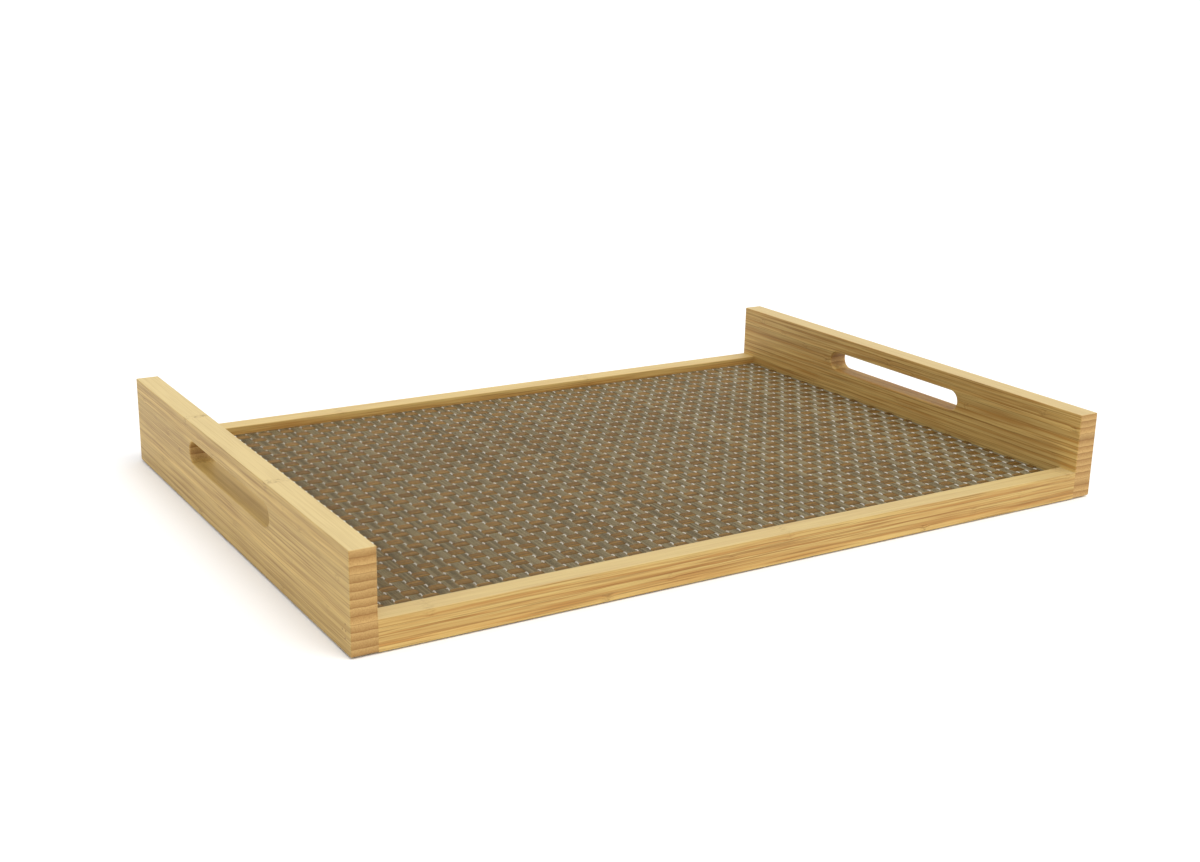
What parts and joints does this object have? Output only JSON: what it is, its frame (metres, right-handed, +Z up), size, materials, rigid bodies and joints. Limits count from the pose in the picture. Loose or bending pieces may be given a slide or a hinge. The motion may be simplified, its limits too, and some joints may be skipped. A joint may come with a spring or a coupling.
{
  "type": "serving tray",
  "caption": "Rectangular laminated bamboo serving tray: tall end panels with stadium handle slots, low rails and a recessed well lined with a brown and silver woven vinyl mat.",
  "frame": {"origin": "on the table, under the middle of the tray", "axes": "+X along the tray from the left end panel to the right one, +Y from front to back, +Z up"},
  "size_m": [0.584, 0.406, 0.0645],
  "materials": {
    "bamboo": "side-pressed laminated bamboo, satin clear coat",
    "base_board": "bamboo ply, thin clear coat",
    "woven_vinyl": "basketweave of silver-grey and brown vinyl yarns, slight sheen",
    "dowel": "plain hardwood, glued",
    "pad": "matt anti-slip rubber"
  },
  "bodies": {
    "root": {"left_end_panel": "bamboo", "right_end_panel": "bamboo", "front_rail": "bamboo", "back_rail": "bamboo", "base_board": "base_board", "woven_mat": "woven_vinyl", "dowel_left_front_lower": "dowel", "dowel_left_front_upper": "dowel", "dowel_left_back_lower": "dowel", "dowel_left_back_upper": "dowel", "dowel_right_front_lower": "dowel", "dowel_right_front_upper": "dowel", "dowel_right_back_lower": "dowel", "dowel_right_back_upper": "dowel", "pad_left_front": "pad", "pad_left_back": "pad", "pad_right_front": "pad", "pad_right_back": "pad"}
  },
  "joints": []
}
